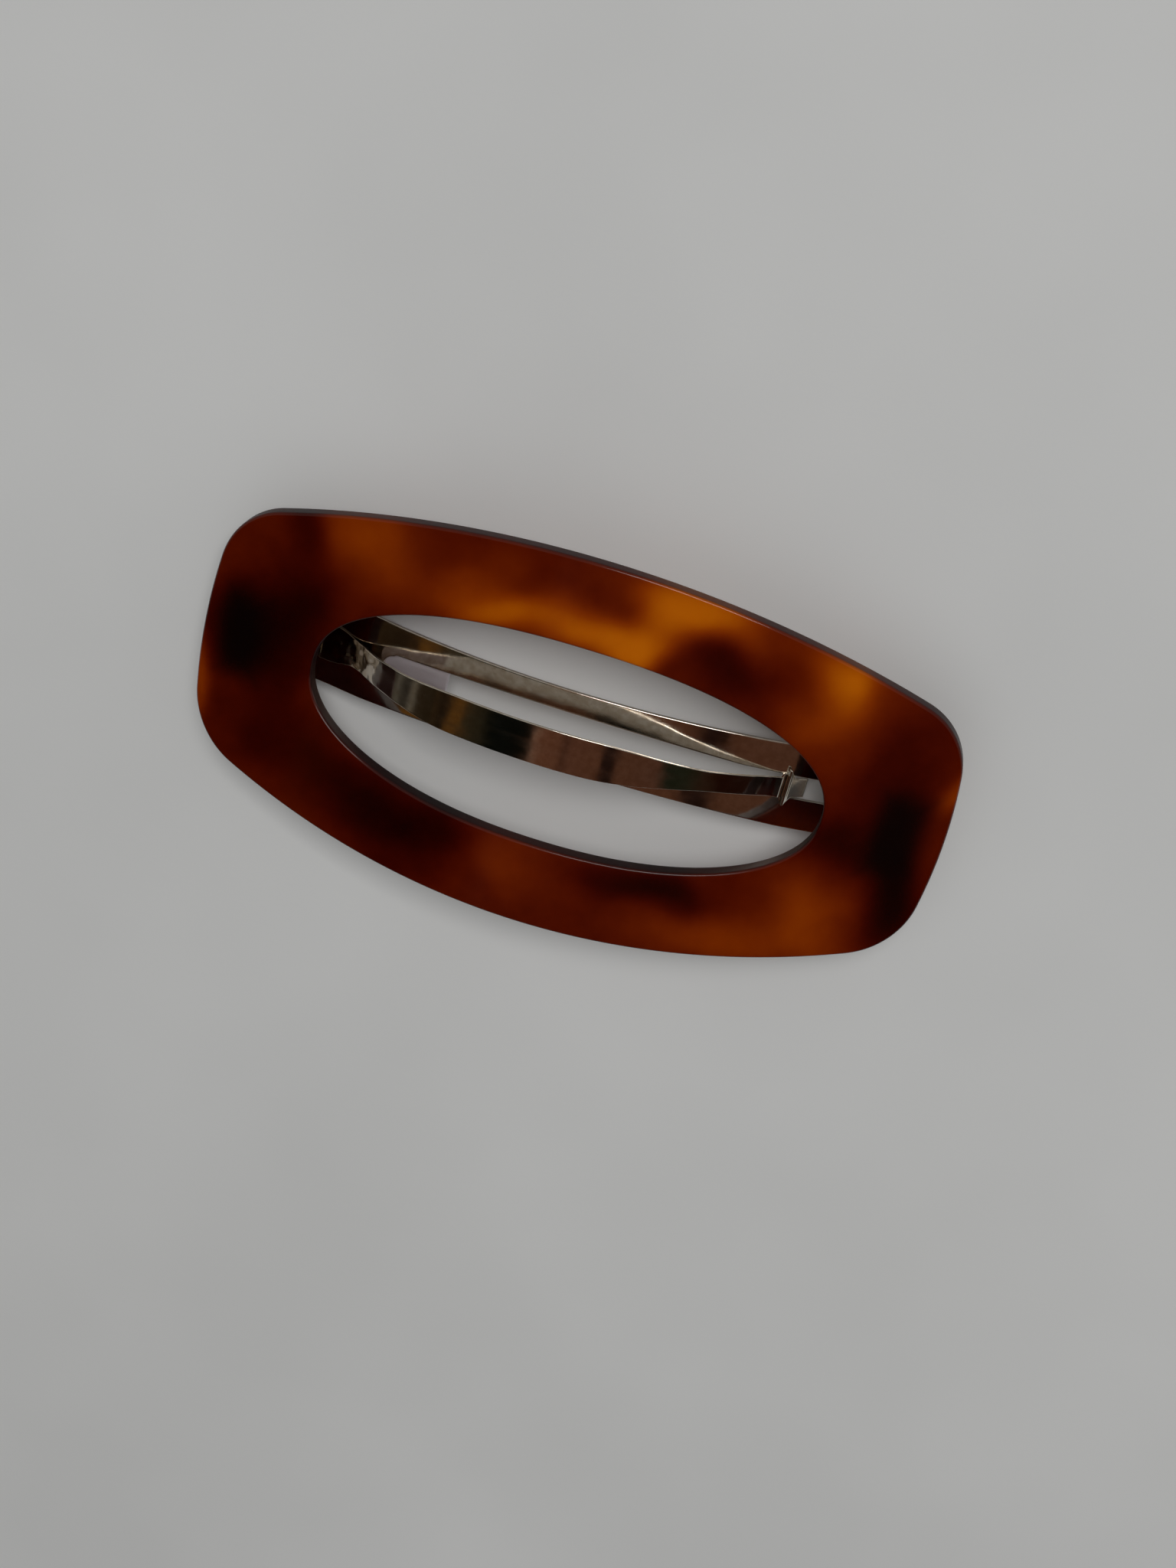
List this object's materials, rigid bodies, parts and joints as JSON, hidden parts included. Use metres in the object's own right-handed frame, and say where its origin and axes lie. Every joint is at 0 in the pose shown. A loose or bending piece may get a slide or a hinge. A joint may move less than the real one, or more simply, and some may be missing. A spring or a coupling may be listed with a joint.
{
  "type": "barrette",
  "caption": "Hair barrette: a bowed, rounded plate with an oval window on a metal spring clip, with a hinged slotted arm, a bowed tension bar and a pinch clasp.",
  "frame": {"origin": "middle of the barrette in plan, on the surface that the closed clip lies on", "axes": "+X along the plate from the hinge to the clasp, +Y across the plate, +Z out of its front face"},
  "size_m": [0.0944, 0.0472, 0.0163],
  "materials": {
    "acetate": "polished cellulose acetate, amber and dark brown mottle",
    "plated_steel": "bright nickel plate"
  },
  "bodies": {
    "arm": {"arm": "plated_steel", "tension_bar": "plated_steel"},
    "plate": {"plate": "acetate", "fixing_pins": "plated_steel", "hinge_bracket": "plated_steel", "hinge_pin": "plated_steel", "clasp_base": "plated_steel"},
    "clasp_lever_upper": {"clasp_lever_upper": "plated_steel"},
    "clasp_lever_lower": {"clasp_lever_lower": "plated_steel"}
  },
  "joints": [
    {"name": "open", "type": "hinge", "parent": "arm", "child": "plate", "pos_m": [-0.0412, 0, 0.00165], "axis": [0, -1, 0], "range_deg": [0, 60]},
    {"name": "squeeze_upper", "type": "hinge", "parent": "plate", "child": "clasp_lever_upper", "pos_m": [0.0417, 0.0029, 0.0063], "axis": [-1, 0, 0], "range_deg": [0, 8], "stiffness_Nm_per_rad": 0.02},
    {"name": "squeeze_lower", "type": "hinge", "parent": "plate", "child": "clasp_lever_lower", "pos_m": [0.0417, -0.0029, 0.0063], "axis": [1, 0, 0], "range_deg": [0, 8], "stiffness_Nm_per_rad": 0.02}
  ],
  "couplings": [
    {"joint": "squeeze_lower", "follows": "squeeze_upper", "ratio": 1}
  ]
}
